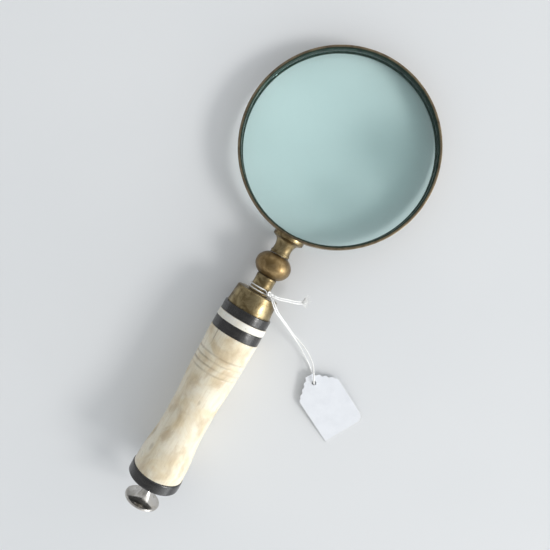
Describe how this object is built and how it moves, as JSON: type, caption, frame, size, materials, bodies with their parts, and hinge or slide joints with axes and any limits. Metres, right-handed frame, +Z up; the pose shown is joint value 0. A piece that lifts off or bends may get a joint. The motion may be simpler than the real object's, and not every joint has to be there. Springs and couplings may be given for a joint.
{
  "type": "magnifying glass",
  "caption": "Hand magnifying glass: round lens in a brass rim, turned brass neck with a ball, waisted bone handle with black rings, metal finial nut and a strung blank tag.",
  "frame": {"origin": "under the middle of the glass without its tag, on the surface that it lies on", "axes": "+Z up from the surface; +Y along the handle towards the lens; the strung tag lies on the +X side"},
  "size_m": [0.1347, 0.2636, 0.0336],
  "materials": {
    "rim_brass": "satin",
    "neck_brass": "satin",
    "ball_brass": "satin",
    "lens_glass": "polished",
    "handle_bone": "satin",
    "spacer_bone": "satin",
    "black_horn": "satin",
    "core_wood": "matte",
    "finial_nickel": "polished",
    "rod_steel": "satin",
    "string_cotton": "matte",
    "tag_paper": "matte"
  },
  "bodies": {
    "magnifier": {"rim_band": "rim_brass", "lens": "lens_glass", "lens_spring_ring": "rim_brass", "neck_screw": "rod_steel", "neck_stem": "neck_brass", "neck_ball": "ball_brass", "neck_sleeve": "neck_brass", "ferrule": "neck_brass", "upper_horn_ring": "black_horn", "bone_spacer_ring": "spacer_bone", "lower_horn_ring": "black_horn", "bone_handle": "handle_bone", "handle_core": "core_wood", "end_horn_ring": "black_horn", "tie_rod": "rod_steel", "string_turn_1": "string_cotton", "string_turn_2": "string_cotton", "string_knot": "string_cotton", "string_loop": "string_cotton", "string_tail": "string_cotton", "tag_card": "tag_paper"},
    "washer": {"finial_washer": "finial_nickel"},
    "finial_nut": {"finial": "finial_nickel"}
  },
  "joints": [
    {"name": "finial_travel", "type": "slide", "parent": "magnifier", "child": "washer", "axis": [0, -0.9982, 0.0597], "range_m": [0, 0.00105]},
    {"name": "finial_turn", "type": "hinge", "parent": "washer", "child": "finial_nut", "pos_m": [0, -0.11769, 0.01938], "axis": [0, -0.9982, 0.0597], "range_deg": [0, 720]}
  ],
  "couplings": [
    {"joint": "finial_travel", "follows": "finial_turn", "m_per_rad": 0.000079577}
  ]
}
